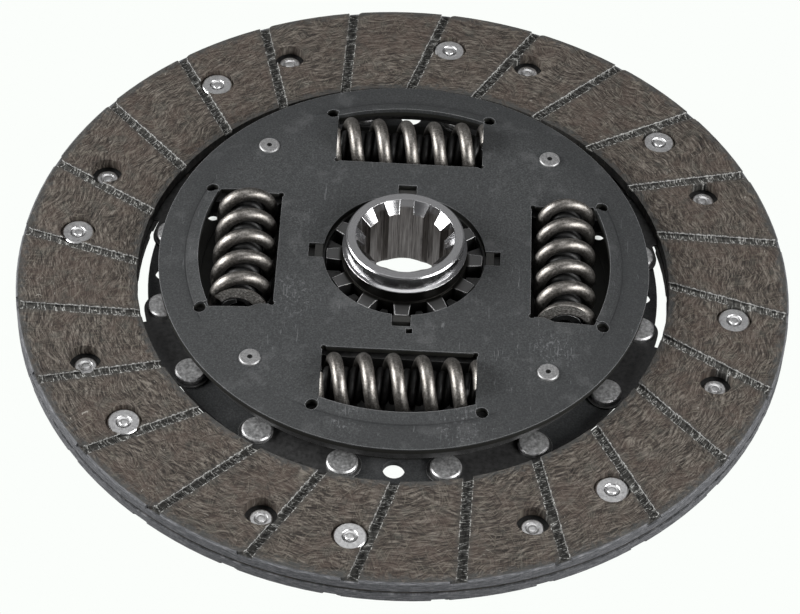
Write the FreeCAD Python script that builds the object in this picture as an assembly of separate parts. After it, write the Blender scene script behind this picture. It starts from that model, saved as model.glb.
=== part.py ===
import FreeCAD, Part
import math
import os

# Clutch disc with a sprung hub. Millimetres and degrees.
# The axis is Z, z = 0 is midway between the two friction faces, and the gearbox side is up.

V = FreeCAD.Vector
UP = V(0, 0, 1)

# Friction facings
FACING_R = 114.0
FACING_CLEARANCE = 3.1
FACING_THICKNESS = 3.5
CUSHION_GAP = 1.4
RIM_CHAMFER = 0.6
GROOVE_COUNT = 24
GROOVE_WIDTH = 2.7
GROOVE_DEPTH = 1.2
GROOVE_OFFSET = 23.0
GROOVE_TURN = 88.4
GROOVE_MOUTH_R = 1.8
FACING_FLIP_AXIS = 8.5

# Rivets through the facings
FACING_RIVET_PLACE = 0.554
FACING_RIVET_TURN = -6.5
FACING_TAIL_TURN = -21.5
COUNTERBORE_R = 5.25
COUNTERBORE_DEPTH = 2.0
TAIL_HOLE_R = 4.75
FACING_RIVET_HEAD_R = 4.65
FACING_RIVET_HEAD_T = 0.9
FACING_RIVET_SHANK_R = 2.6
FACING_RIVET_BORE_R = 2.0
FACING_RIVET_TAIL_R = 3.25
FACING_RIVET_BEVEL = 0.3

# Cushion segments
SEGMENT_COUNT = 8
SEGMENT_TURN = 22.5
SHEET = 0.7
PADDLE_HALF_ANGLE = 21.6
PADDLE_INSET = 2.0
NECK_HALF_ANGLE = 7.2
FOOT_DEPTH = 5.0
FOOT_LOBE_R = 5.5
WAVE_START = 10.5
WAVE_END = 16.5

# Rivets through the segments
SEGMENT_RIVET_TUCK = 0.6
SEGMENT_RIVET_EDGE = 4.0
SEGMENT_RIVET_HALF_ANGLE = 10.7
SEGMENT_RIVET_HEAD_R = 4.5
SEGMENT_RIVET_HEAD_T = 1.6
SEGMENT_RIVET_SHANK_R = 2.5
SEGMENT_RIVET_TAIL_R = 3.8
SEGMENT_RIVET_TAIL_T = 1.1
SEGMENT_RIVET_BEVEL = 0.45

# Springs
SPRING_CIRCLE_R = 47.0
SPRING_AXIS_Z = 7.9
SPRING_OUTER_R = 9.5
SPRING_WIRE_R = 1.95
SPRING_PITCH = 8.4
SPRING_END_TURN = 0.5
SPRING_END_CUT = 0.6
SPRING_END_GAP = 0.15
INNER_SPRING_GAP = 0.4
INNER_WIRE_R = 1.1
INNER_SPRING_PITCH = 3.4
MAIN_SPRING_LENGTH = 44.0
LATE_SPRING_LENGTH = 42.8
LATE_SPRINGS = (1, 3)
SPRING_PHASES = {1: 0.455, 2: 0.067, 3: 0.768, 4: 0.946}

# The windows for the springs
WINDOW_SIDE_GAP = 0.3
WINDOW_OUTER_GAP = 4.0
CORNER_RELIEF_R = 0.9
FLARE_START = 4.0
FLARE_RUN = 3.0
FLARE_DEPTH = 1.4
LIP_WIDTH = 3.9
LIP_RISE = 0.95
RELIEF_HOLE_R = 1.8
RELIEF_OUT = 2.5
RELIEF_PAST_WINDOW = 1.8

# Plates and flange
PLATE_THICKNESS = 2.0
DRIVEN_HOLE_R = 3.15
DRIVEN_HOLE_EDGE = 5.0
DRIVEN_WINDOW_STEP = 1.8
RETAINER_OVERHANG = 2.6
RETAINER_OPENING_GAP = 1.0
DISH_START_R = 45.0
DISH_CURVE_R = 166.0
LUG_NOTCH_WIDTH = 5.5
LUG_NOTCH_DEPTH = 4.3
INDEX_HOLE_STEP = 1.8
INDEX_HOLE_TURN = -85.4
INDEX_HOLE_SIZE = 1.9
FLANGE_THICKNESS = 5.0
FLANGE_GAP = 1.6
FLANGE_WINDOW_STEP = 5.1
FLANGE_RIM = 3.9
SLOT_SIDE_GAP = 0.5
SLOT_RIM = 4.6

# Stop pins and the two free turns
PIN_SHOULDER_R = 4.3
PIN_NECK_R = 2.6
PIN_HEAD_R = 3.1
PIN_HEAD_RISE = 0.6
PIN_DIMPLE_R = 0.6
PIN_BEVEL = 0.3
PIN_SEAT_MARGIN = 0.5
DAMPER_TURN = 8.0
IDLE_TURN = 5.0
STOP_CLEARANCE = 0.05

# Hub
SPLINE_COUNT = 10
SPLINE_TURN = 90.0
SPLINE_MINOR_R = 11.5
SPLINE_MAJOR_R = 14.5
SPLINE_WIDTH = 4.0
LEAD_IN_DEPTH = 3.2
HUB_WALL = 2.8
HUB_JOURNAL_STEP = 0.3
HUB_COLLAR_STEP = 1.0
HUB_BARREL_STEP = 0.5
HUB_BEVEL = 0.4
HUB_RISE = 8.1
HUB_DROP = 2.1
HUB_COLLAR_RISE = 2.8
HUB_COLLAR_HEIGHT = 0.9
TOOTH_COUNT = 12
TOOTH_HEIGHT = 4.6
TOOTH_SINK = 1.2
TOOTH_BOTTOM_GAP = 0.2
TOOTH_ROOT_HALF = 2.45
TOOTH_TIP_HALF = 1.95

# Friction parts round the hub
RUNNING_CLEARANCE = 0.05
TOOTH_RADIAL_GAP = 0.6
RING_BORE_GAP = 0.4
RING_TO_WINDOW = 3.2
FRICTION_STACK = 2.3
FRICTION_RING_T = 1.3
LUG_INSET = 1.9
LUG_SINK = 0.3
BUSH_WALL = 3.0
BUSH_COLLAR_INSET = 4.0
BUSH_COLLAR_T = 2.0
WASHER_INSET = 2.0
WASHER_BORE_GAP = 0.5
DISC_SPRING_T = 0.5
DISC_SPRING_MARGIN = 1.0

# How far a cutting shape runs past what it cuts
CUT_PAST = 5.0

# Radii that follow from the sizes above, from the springs out to the facings
WINDOW_INNER = SPRING_CIRCLE_R - SPRING_OUTER_R - WINDOW_SIDE_GAP
WINDOW_OUTER_R = SPRING_CIRCLE_R + SPRING_OUTER_R + WINDOW_OUTER_GAP
RELIEF_CIRCLE_R = WINDOW_OUTER_R + RELIEF_OUT
FLANGE_WINDOW_R = WINDOW_OUTER_R + FLANGE_WINDOW_STEP
FLANGE_R = FLANGE_WINDOW_R + FLANGE_RIM
PIN_CIRCLE_R = FLANGE_R - SLOT_RIM - SLOT_SIDE_GAP - PIN_SHOULDER_R
RETAINER_PLATE_R = FLANGE_R + RETAINER_OVERHANG
SEGMENT_RIVET_R = RETAINER_PLATE_R - SEGMENT_RIVET_TUCK
DRIVEN_PLATE_R = SEGMENT_RIVET_R + SEGMENT_RIVET_EDGE
DRIVEN_HOLE_CIRCLE_R = DRIVEN_PLATE_R - DRIVEN_HOLE_EDGE
FACING_INNER_R = DRIVEN_PLATE_R + FACING_CLEARANCE
FACING_RIVET_R = FACING_INNER_R + FACING_RIVET_PLACE * (FACING_R - FACING_INNER_R)
WINDOW_LENGTH = MAIN_SPRING_LENGTH + 2 * SPRING_END_GAP

# Radii that follow from the spline, from the bore out to the friction ring
HUB_NECK_R = SPLINE_MAJOR_R + HUB_WALL
HUB_JOURNAL_R = HUB_NECK_R - HUB_JOURNAL_STEP
HUB_COLLAR_R = HUB_NECK_R + HUB_COLLAR_STEP
TOOTH_TIP_R = HUB_COLLAR_R + TOOTH_HEIGHT
TOOTH_BORE_R = TOOTH_TIP_R + TOOTH_RADIAL_GAP
RETAINER_OPENING_R = TOOTH_TIP_R + RETAINER_OPENING_GAP
LUG_NOTCH_R = RETAINER_OPENING_R + LUG_NOTCH_DEPTH
INDEX_HOLE_R = LUG_NOTCH_R + INDEX_HOLE_STEP
FRICTION_RING_R = WINDOW_INNER - RING_TO_WINDOW
WASHER_R = FRICTION_RING_R - WASHER_INSET
BUSH_R = HUB_JOURNAL_R + RUNNING_CLEARANCE + BUSH_WALL
BUSH_COLLAR_R = FRICTION_RING_R - BUSH_COLLAR_INSET

# Heights that follow from the thicknesses above
FRICTION_FACE_Z = CUSHION_GAP / 2 + FACING_THICKNESS
DRIVEN_TOP = -CUSHION_GAP / 2
DRIVEN_BOTTOM = DRIVEN_TOP - PLATE_THICKNESS
FOOT_TOP = DRIVEN_TOP + SHEET
FLANGE_BOTTOM = FOOT_TOP + SEGMENT_RIVET_HEAD_T + FLANGE_GAP
FLANGE_TOP = FLANGE_BOTTOM + FLANGE_THICKNESS
RETAINER_BOTTOM = FLANGE_TOP + FRICTION_STACK
RETAINER_TOP = RETAINER_BOTTOM + PLATE_THICKNESS
HUB_TOP = RETAINER_TOP + HUB_RISE
HUB_BOTTOM = DRIVEN_BOTTOM - HUB_DROP
HUB_COLLAR_BOTTOM = RETAINER_TOP + HUB_COLLAR_RISE
TOOTH_TOP = RETAINER_TOP - TOOTH_SINK

PARTS = {}


# Basic shapes

def cylinder(r, z0, z1, x=0.0, y=0.0):
    return Part.makeCylinder(r, z1 - z0, V(x, y, z0))


def ring(r_out, r_in, z0, z1):
    return cylinder(r_out, z0, z1).cut(cylinder(r_in, z0 - 1, z1 + 1))


def prism(points, z0, z1):
    outline = Part.makePolygon([V(x, y, z0) for x, y in points + points[:1]])
    return Part.Face(outline).extrude(V(0, 0, z1 - z0))


def lathe(profile, turn=360.0):
    outline = Part.makePolygon([V(r, 0, z) for r, z in profile + profile[:1]])
    return Part.Face(outline).revolve(V(0, 0, 0), UP, turn)


def polar(r, angle):
    a = math.radians(angle)
    return r * math.cos(a), r * math.sin(a)


def turned(shape, angle):
    copy = shape.copy()
    copy.rotate(V(0, 0, 0), UP, angle)
    return copy


def sector(r_out, r_in, half_angle, z0, z1):
    """A ring's part within half_angle of the X axis."""
    profile = [(r_in, z0), (r_out, z0), (r_out, z1), (r_in, z1)]
    return turned(lathe(profile, 2 * half_angle), -half_angle)


def box_along_x(x0, x1, width, z0, z1):
    return Part.makeBox(x1 - x0, width, z1 - z0, V(x0, -width / 2, z0))


# Friction facings

def groove(angle):
    """One oil groove, with its mouth rounded where it meets the rim."""
    half = GROOVE_WIDTH / 2
    outer = math.sqrt((FACING_R - GROOVE_MOUTH_R) ** 2 - GROOVE_OFFSET ** 2)
    z0 = FRICTION_FACE_Z - GROOVE_DEPTH
    z1 = FRICTION_FACE_Z + 1
    slot = Part.makeBox(FACING_R, GROOVE_WIDTH, z1 - z0, V(0, GROOVE_OFFSET - half, z0))
    reach = 2 * GROOVE_MOUTH_R
    mouth = Part.makeBox(reach, GROOVE_WIDTH + reach, z1 - z0, V(outer, GROOVE_OFFSET - half - reach / 2, z0))
    for side in (-1, 1):
        y = GROOVE_OFFSET + side * (half + GROOVE_MOUTH_R)
        mouth = mouth.cut(cylinder(GROOVE_MOUTH_R, z0 - 1, z1 + 1, outer, y))
    return turned(slot.fuse(mouth), angle)


def facing():
    z0 = CUSHION_GAP / 2
    z1 = FRICTION_FACE_Z
    r_chamfer = FACING_R - RIM_CHAMFER
    shape = lathe([
        (FACING_INNER_R, z0), (FACING_R, z0), (FACING_R, z1 - RIM_CHAMFER), (r_chamfer, z1),
        (FACING_INNER_R, z1),
    ])
    cuts = [groove(GROOVE_TURN + i * 360 / GROOVE_COUNT) for i in range(GROOVE_COUNT)]
    for i in range(SEGMENT_COUNT):
        step = i * 360 / SEGMENT_COUNT
        x, y = polar(FACING_RIVET_R, FACING_RIVET_TURN + step)
        cuts.append(cylinder(COUNTERBORE_R, z1 - COUNTERBORE_DEPTH, z1 + 1, x, y))
        cuts.append(cylinder(FACING_RIVET_SHANK_R + RUNNING_CLEARANCE, z0 - 1, z1 + 1, x, y))
        x, y = polar(FACING_RIVET_R, FACING_TAIL_TURN + step)
        cuts.append(cylinder(TAIL_HOLE_R, z0 - 1, z1 + 1, x, y))
    return shape.cut(cuts)


def flipped(shape):
    """The flywheel side has the same pieces, turned over."""
    copy = shape.copy()
    copy.rotate(V(0, 0, 0), V(*polar(1, FACING_FLIP_AXIS), 0), 180)
    return copy


def facing_rivet(angle):
    """Hollow rivet: head in the counterbore, rolled end under the segment."""
    x, y = polar(FACING_RIVET_R, angle)
    seat = FRICTION_FACE_Z - COUNTERBORE_DEPTH
    wing_under = CUSHION_GAP / 2 - SHEET
    low = wing_under - FACING_RIVET_HEAD_T
    bevel = FACING_RIVET_BEVEL
    shape = lathe([
        (FACING_RIVET_BORE_R, low), (FACING_RIVET_TAIL_R - bevel, low), (FACING_RIVET_TAIL_R, low + bevel),
        (FACING_RIVET_TAIL_R, wing_under), (FACING_RIVET_SHANK_R, wing_under), (FACING_RIVET_SHANK_R, seat),
        (FACING_RIVET_HEAD_R, seat), (FACING_RIVET_HEAD_R, seat + FACING_RIVET_HEAD_T - bevel),
        (FACING_RIVET_HEAD_R - bevel, seat + FACING_RIVET_HEAD_T),
        (FACING_RIVET_BORE_R + bevel, seat + FACING_RIVET_HEAD_T),
        (FACING_RIVET_BORE_R, seat + FACING_RIVET_HEAD_T - bevel),
    ])
    shape.translate(V(x, y, 0))
    return shape


def facing_rivets():
    step = 360 / SEGMENT_COUNT
    return [facing_rivet(FACING_RIVET_TURN + i * step) for i in range(SEGMENT_COUNT)]


# Cushion segments

def wave_sheet():
    """The bent sheet of one paddle: the middle lies low, both wings lie high."""
    low = DRIVEN_TOP
    high = CUSHION_GAP / 2 - SHEET
    reach = FACING_R
    top = [
        (-reach, high), (-WAVE_END, high), (-WAVE_START, low),
        (WAVE_START, low), (WAVE_END, high), (reach, high),
    ]
    outline = top + [(y, z + SHEET) for y, z in reversed(top)]
    wire = Part.makePolygon([V(0, y, z) for y, z in outline + outline[:1]])
    return Part.Face(wire).extrude(V(FACING_R, 0, 0))


def segment():
    """One spring-steel segment, centred on the X axis."""
    r_in = FACING_INNER_R + PADDLE_INSET
    r_out = FACING_R - PADDLE_INSET
    paddle = sector(r_out, r_in, PADDLE_HALF_ANGLE, -CUSHION_GAP, CUSHION_GAP).common(wave_sheet())
    neck = sector(r_in + 1, SEGMENT_RIVET_R, NECK_HALF_ANGLE, DRIVEN_TOP, FOOT_TOP)
    foot_outer = SEGMENT_RIVET_R + FOOT_LOBE_R
    foot_inner = SEGMENT_RIVET_R - FOOT_DEPTH
    foot = sector(foot_outer, foot_inner, SEGMENT_RIVET_HALF_ANGLE, DRIVEN_TOP, FOOT_TOP)
    holes = []
    for side in (-1, 1):
        x, y = polar(SEGMENT_RIVET_R, side * SEGMENT_RIVET_HALF_ANGLE)
        foot = foot.fuse(cylinder(FOOT_LOBE_R, DRIVEN_TOP, FOOT_TOP, x, y))
        holes.append(cylinder(SEGMENT_RIVET_SHANK_R + RUNNING_CLEARANCE, -CUSHION_GAP, CUSHION_GAP, x, y))
    step = 360 / SEGMENT_COUNT
    for angle in (FACING_RIVET_TURN, 2 * FACING_FLIP_AXIS - FACING_RIVET_TURN):
        place = (angle - SEGMENT_TURN + step / 2) % step - step / 2
        x, y = polar(FACING_RIVET_R, place)
        holes.append(cylinder(FACING_RIVET_SHANK_R + RUNNING_CLEARANCE, -CUSHION_GAP, CUSHION_GAP, x, y))
    return paddle.fuse([neck, foot]).removeSplitter().cut(holes)


def segment_rivet(angle):
    x, y = polar(SEGMENT_RIVET_R, angle)
    top = FOOT_TOP + SEGMENT_RIVET_HEAD_T
    low = DRIVEN_BOTTOM - SEGMENT_RIVET_TAIL_T
    bevel = SEGMENT_RIVET_BEVEL
    shape = lathe([
        (0, low), (SEGMENT_RIVET_TAIL_R - bevel, low), (SEGMENT_RIVET_TAIL_R, low + bevel),
        (SEGMENT_RIVET_TAIL_R, DRIVEN_BOTTOM), (SEGMENT_RIVET_SHANK_R, DRIVEN_BOTTOM),
        (SEGMENT_RIVET_SHANK_R, FOOT_TOP), (SEGMENT_RIVET_HEAD_R, FOOT_TOP),
        (SEGMENT_RIVET_HEAD_R, top - bevel), (SEGMENT_RIVET_HEAD_R - bevel, top), (0, top),
    ])
    shape.translate(V(x, y, 0))
    return shape


def segment_rivet_angles():
    angles = []
    for i in range(SEGMENT_COUNT):
        middle = SEGMENT_TURN + i * 360 / SEGMENT_COUNT
        angles += [middle - SEGMENT_RIVET_HALF_ANGLE, middle + SEGMENT_RIVET_HALF_ANGLE]
    return angles


# Plates and flange

def window(inner, outer_r, length, z0, z1):
    """A spring window on the X axis, with a curved outer edge and relieved inner corners."""
    shape = box_along_x(inner, outer_r + 1, length, z0, z1).common(cylinder(outer_r, z0, z1))
    inset = CORNER_RELIEF_R / 2
    y = length / 2 - inset
    corners = [cylinder(CORNER_RELIEF_R, z0, z1, inner + inset, side * y) for side in (-1, 1)]
    return shape.fuse(corners)


def plate_window(number, inner, z0, z1):
    """A plate's window. Past their inner corners, those of the late springs leave play at both ends."""
    shape = window(inner, WINDOW_OUTER_R, WINDOW_LENGTH, z0, z1)
    if number in LATE_SPRINGS:
        x0 = WINDOW_INNER + FLARE_START
        x1 = x0 + FLARE_RUN
        low = WINDOW_LENGTH / 2
        high = low + FLARE_DEPTH
        outline = [
            (x0, -low), (x1, -high), (WINDOW_OUTER_R, -high),
            (WINDOW_OUTER_R, high), (x1, high), (x0, low),
        ]
        shape = shape.fuse(prism(outline, z0, z1).common(cylinder(WINDOW_OUTER_R, z0, z1)))
    return turned(shape, spring_angle(number))


def spring_angle(number):
    return 90 * (number - 1)


def spring_length(number):
    return LATE_SPRING_LENGTH if number in LATE_SPRINGS else MAIN_SPRING_LENGTH


def dish_drop(r):
    """How far the retainer plate's faces lie below their flat middle at radius r."""
    past = max(r - DISH_START_R, 0)
    return DISH_CURVE_R - math.sqrt(DISH_CURVE_R ** 2 - past ** 2)


def dished_disc():
    """The retainer plate's blank: flat in the middle and curving down to its rim."""
    edge = RETAINER_PLATE_R
    middle = (DISH_START_R + edge) / 2
    drop = dish_drop(edge)

    def point(r, z):
        return V(r, 0, z)

    top_arc = Part.Arc(
        point(DISH_START_R, RETAINER_TOP), point(middle, RETAINER_TOP - dish_drop(middle)),
        point(edge, RETAINER_TOP - drop),
    ).toShape()
    low_arc = Part.Arc(
        point(edge, RETAINER_BOTTOM - drop), point(middle, RETAINER_BOTTOM - dish_drop(middle)),
        point(DISH_START_R, RETAINER_BOTTOM),
    ).toShape()
    edges = [
        Part.makeLine(point(RETAINER_OPENING_R, RETAINER_TOP), point(DISH_START_R, RETAINER_TOP)),
        top_arc,
        Part.makeLine(point(edge, RETAINER_TOP - drop), point(edge, RETAINER_BOTTOM - drop)),
        low_arc,
        Part.makeLine(point(DISH_START_R, RETAINER_BOTTOM), point(RETAINER_OPENING_R, RETAINER_BOTTOM)),
        Part.makeLine(point(RETAINER_OPENING_R, RETAINER_BOTTOM), point(RETAINER_OPENING_R, RETAINER_TOP)),
    ]
    return Part.Face(Part.Wire(edges)).revolve(V(0, 0, 0), UP, 360)


def window_lip(z_inner, z_outer, rise):
    """The pressed lip that holds a spring in, along the window's outer edge."""
    r_in = WINDOW_OUTER_R
    r_out = WINDOW_OUTER_R + LIP_WIDTH
    sink = rise / LIP_RISE
    half = math.degrees(math.asin(WINDOW_LENGTH / 2 / WINDOW_OUTER_R))
    profile = [(r_in, z_inner - sink), (r_out, z_outer - sink), (r_out, z_outer), (r_in, z_inner + rise)]
    return turned(lathe(profile, 2 * half), -half)


def relief_holes():
    holes = []
    for side in (-1, 1):
        y = side * (WINDOW_LENGTH / 2 + RELIEF_PAST_WINDOW)
        x = math.sqrt(RELIEF_CIRCLE_R ** 2 - y ** 2)
        holes.append(cylinder(RELIEF_HOLE_R, DRIVEN_BOTTOM - CUT_PAST, RETAINER_TOP + CUT_PAST, x, y))
    return holes


def quarter_angles(start=0):
    return [start + 90 * i for i in range(4)]


def pin_neck_holes():
    return [
        cylinder(PIN_NECK_R + RUNNING_CLEARANCE, DRIVEN_BOTTOM - CUT_PAST, RETAINER_TOP + CUT_PAST,
                 *polar(PIN_CIRCLE_R, a))
        for a in quarter_angles(45)
    ]


def pin_seat_top():
    """The spot face under a pin's upper head, just below the dished plate's surface."""
    return RETAINER_TOP - dish_drop(PIN_CIRCLE_R + PIN_HEAD_R + RUNNING_CLEARANCE)


def pin_seat_under():
    """The level of the flat seats pressed under the retainer plate for the pins' shoulders."""
    return RETAINER_BOTTOM - dish_drop(PIN_CIRCLE_R + PIN_SHOULDER_R)


def retainer_plate():
    shape = dished_disc()
    outer = WINDOW_OUTER_R + LIP_WIDTH
    z_inner = RETAINER_TOP - dish_drop(WINDOW_OUTER_R)
    z_outer = RETAINER_TOP - dish_drop(outer)
    lip = window_lip(z_inner, z_outer, LIP_RISE)
    seats = [
        cylinder(PIN_SHOULDER_R + PIN_SEAT_MARGIN, pin_seat_under(),
                 RETAINER_BOTTOM - dish_drop(PIN_CIRCLE_R) + PIN_SEAT_MARGIN, *polar(PIN_CIRCLE_R, a))
        for a in quarter_angles(45)
    ]
    cuts = pin_neck_holes()
    for a in quarter_angles(45):
        x, y = polar(PIN_CIRCLE_R, a)
        cuts.append(cylinder(PIN_HEAD_R + RUNNING_CLEARANCE, pin_seat_top(), RETAINER_TOP + 1, x, y))
    for number in SPRING_PHASES:
        cuts.append(plate_window(number, WINDOW_INNER, RETAINER_BOTTOM - CUT_PAST, RETAINER_TOP + CUT_PAST))
    notch = box_along_x(0, LUG_NOTCH_R, LUG_NOTCH_WIDTH, RETAINER_BOTTOM - 1, RETAINER_TOP + 1)
    for a in quarter_angles():
        cuts.append(turned(notch, a))
        cuts += [turned(hole, a) for hole in relief_holes()]
    half = INDEX_HOLE_SIZE / 2
    index_hole = box_along_x(INDEX_HOLE_R - half, INDEX_HOLE_R + half, INDEX_HOLE_SIZE,
                             RETAINER_BOTTOM - 1, RETAINER_TOP + 1)
    cuts.append(turned(index_hole, INDEX_HOLE_TURN))
    return shape.fuse([turned(lip, a) for a in quarter_angles()] + seats).cut(cuts)


def driven_plate():
    shape = ring(DRIVEN_PLATE_R, BUSH_R + RUNNING_CLEARANCE, DRIVEN_BOTTOM, DRIVEN_TOP)
    lip = window_lip(-DRIVEN_BOTTOM, -DRIVEN_BOTTOM, LIP_RISE)
    lip.rotate(V(0, 0, 0), V(1, 0, 0), 180)
    cuts = pin_neck_holes()
    z0 = DRIVEN_BOTTOM - CUT_PAST
    z1 = DRIVEN_TOP + 1
    for number in SPRING_PHASES:
        cuts.append(plate_window(number, WINDOW_INNER + DRIVEN_WINDOW_STEP, z0, z1))
    for a in quarter_angles():
        cuts += [turned(hole, a) for hole in relief_holes()]
        cuts.append(cylinder(DRIVEN_HOLE_R, z0, z1, *polar(DRIVEN_HOLE_CIRCLE_R, a)))
    for a in segment_rivet_angles():
        cuts.append(cylinder(SEGMENT_RIVET_SHANK_R + RUNNING_CLEARANCE, z0, z1, *polar(SEGMENT_RIVET_R, a)))
    return shape.fuse([turned(lip, a) for a in quarter_angles()]).cut(cuts)


def tooth_flank(extra_turn):
    """Two points on a hub tooth's flank line, carried past root and tip, turned away from the tooth."""
    slope = (TOOTH_TIP_HALF - TOOTH_ROOT_HALF) / (TOOTH_TIP_R - HUB_COLLAR_R)
    low_r = HUB_COLLAR_R - 2
    high_r = TOOTH_BORE_R + 1
    a = math.radians(extra_turn)
    points = []
    for r in (low_r, high_r):
        x = r
        y = TOOTH_ROOT_HALF + slope * (r - HUB_COLLAR_R)
        points.append((x * math.cos(a) - y * math.sin(a), x * math.sin(a) + y * math.cos(a)))
    return points


def tooth_space():
    """The space in the flange that lets a hub tooth turn by the idle angle each way."""
    slack = math.degrees(STOP_CLEARANCE / HUB_COLLAR_R)
    inner, outer = tooth_flank(IDLE_TURN + slack)
    points = [inner, outer, (outer[0], -outer[1]), (inner[0], -inner[1])]
    return prism(points, FLANGE_BOTTOM - 1, FLANGE_TOP + 1)


def stop_slot():
    """The curved slot that a stop pin moves in, with flat ends that it meets at the damper's limits."""
    side = PIN_SHOULDER_R + STOP_CLEARANCE
    half = DAMPER_TURN + math.degrees(math.asin(side / PIN_CIRCLE_R))
    gap = PIN_SHOULDER_R + SLOT_SIDE_GAP
    return sector(PIN_CIRCLE_R + gap, PIN_CIRCLE_R - gap, half, FLANGE_BOTTOM - 1, FLANGE_TOP + 1)


def hub_flange():
    """The flange between the plates, with its rim closed outside the spring windows."""
    shape = ring(FLANGE_R, HUB_COLLAR_R + TOOTH_RADIAL_GAP, FLANGE_BOTTOM, FLANGE_TOP)
    band = cylinder(TOOTH_BORE_R, FLANGE_BOTTOM - 1, FLANGE_TOP + 1)
    cuts = []
    for i in range(TOOTH_COUNT):
        cuts.append(turned(tooth_space(), i * 360 / TOOTH_COUNT).common(band))
    for number in SPRING_PHASES:
        length = spring_length(number) + 2 * SPRING_END_GAP
        opening = window(WINDOW_INNER, FLANGE_WINDOW_R, length, FLANGE_BOTTOM - 1, FLANGE_TOP + 1)
        cuts.append(turned(opening, spring_angle(number)))
    cuts += [turned(stop_slot(), a) for a in quarter_angles(45)]
    return shape.cut(cuts)


def stop_pin(angle):
    """A shouldered pin that holds the two plates apart, with a riveted head at each end."""
    x, y = polar(PIN_CIRCLE_R, angle)
    top = RETAINER_TOP - dish_drop(PIN_CIRCLE_R) + PIN_HEAD_RISE
    low = DRIVEN_BOTTOM - PIN_HEAD_RISE
    bevel = PIN_BEVEL
    shape = lathe([
        (0, low), (PIN_HEAD_R - bevel, low), (PIN_HEAD_R, low + bevel), (PIN_HEAD_R, DRIVEN_BOTTOM),
        (PIN_NECK_R, DRIVEN_BOTTOM), (PIN_NECK_R, DRIVEN_TOP), (PIN_SHOULDER_R, DRIVEN_TOP),
        (PIN_SHOULDER_R, pin_seat_under()), (PIN_NECK_R, pin_seat_under()), (PIN_NECK_R, pin_seat_top()),
        (PIN_HEAD_R, pin_seat_top()), (PIN_HEAD_R, top - bevel), (PIN_HEAD_R - bevel, top),
        (PIN_DIMPLE_R, top), (0, top - PIN_DIMPLE_R),
    ])
    shape.translate(V(x, y, 0))
    return shape


# Springs

def tube_along(points, radius, sides):
    """A many-sided wire along a line of points, mitred at each one."""
    first = (points[1] - points[0]).normalize()
    side_a = first.cross(V(0, 0, 1)).normalize()
    side_b = first.cross(side_a)
    section = []
    for k in range(sides):
        a = 2 * math.pi * (k + 0.5) / sides
        section.append(points[0] + side_a * (radius * math.cos(a)) + side_b * (radius * math.sin(a)))
    sections = [section]
    for i in range(1, len(points)):
        run = (points[i] - points[i - 1]).normalize()
        onward = (points[i + 1] - points[i]).normalize() if i + 1 < len(points) else run
        plane = (run + onward).normalize()
        reach = run.dot(plane)
        sections.append([p + run * ((points[i] - p).dot(plane) / reach) for p in sections[-1]])
    faces = []
    for lower, upper in zip(sections, sections[1:]):
        for k in range(sides):
            n = (k + 1) % sides
            loop = [lower[k], lower[n], upper[n], upper[k], lower[k]]
            faces.append(Part.Face(Part.makePolygon(loop)))
    faces.append(Part.Face(Part.makePolygon(sections[0] + sections[0][:1])))
    faces.append(Part.Face(Part.makePolygon(sections[-1] + sections[-1][:1])))
    return Part.makeSolid(Part.makeShell(faces))


def coil_points(length, outer_r, wire_r, pitch, phase, hand, steps):
    """The middle of a wire along Y, closed over a part of a turn at each end."""
    mean_r = outer_r - wire_r
    start = length / 2 + SPRING_END_CUT * wire_r
    closed = 2 * wire_r * SPRING_END_TURN
    turns = 2 * SPRING_END_TURN + 2 * (start - closed) / pitch
    count = int(turns * steps) + 1
    points = []
    for i in range(count + 1):
        t = turns * i / count
        if t < SPRING_END_TURN:
            along = -start + 2 * wire_r * t
        elif t < turns - SPRING_END_TURN:
            along = -start + closed + pitch * (t - SPRING_END_TURN)
        else:
            along = start - 2 * wire_r * (turns - t)
        a = hand * 2 * math.pi * (t - phase)
        points.append(V(mean_r * math.sin(a), along, mean_r * math.cos(a)))
    return points


def spring(number, outer_r, wire_r, pitch, hand, steps, sides):
    """A compression spring with flat-ground ends, in its window."""
    length = spring_length(number)
    points = coil_points(length, outer_r, wire_r, pitch, SPRING_PHASES[number], hand, steps)
    limit = 2 * outer_r
    slab = Part.makeBox(2 * limit, length, 2 * limit, V(-limit, -length / 2, -limit))
    shape = tube_along(points, wire_r, sides).common(slab)
    shape.translate(V(SPRING_CIRCLE_R, 0, SPRING_AXIS_Z))
    return turned(shape, spring_angle(number))


def damper_spring(number):
    return spring(number, SPRING_OUTER_R, SPRING_WIRE_R, SPRING_PITCH, 1, 12, 6)


def inner_spring(number):
    """The thinner spring inside a damper spring, wound the other way."""
    outer_r = SPRING_OUTER_R - 2 * SPRING_WIRE_R - INNER_SPRING_GAP
    return spring(number, outer_r, INNER_WIRE_R, INNER_SPRING_PITCH, -1, 8, 4)


# Hub

def hub_body():
    collar_top = HUB_COLLAR_BOTTOM + HUB_COLLAR_HEIGHT
    tooth_low = FLANGE_BOTTOM - TOOTH_BOTTOM_GAP
    barrel_r = HUB_COLLAR_R - HUB_BARREL_STEP
    bevel = HUB_BEVEL
    return lathe([
        (0, HUB_BOTTOM), (HUB_JOURNAL_R - 2 * bevel, HUB_BOTTOM), (HUB_JOURNAL_R, HUB_BOTTOM + 2 * bevel),
        (HUB_JOURNAL_R, tooth_low), (HUB_COLLAR_R, tooth_low), (HUB_COLLAR_R, TOOTH_TOP),
        (barrel_r, TOOTH_TOP), (barrel_r, HUB_COLLAR_BOTTOM), (HUB_COLLAR_R, HUB_COLLAR_BOTTOM + bevel / 2),
        (HUB_COLLAR_R, collar_top - bevel), (HUB_NECK_R, collar_top), (HUB_NECK_R, HUB_TOP - bevel),
        (HUB_NECK_R - bevel, HUB_TOP), (0, HUB_TOP),
    ])


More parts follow.
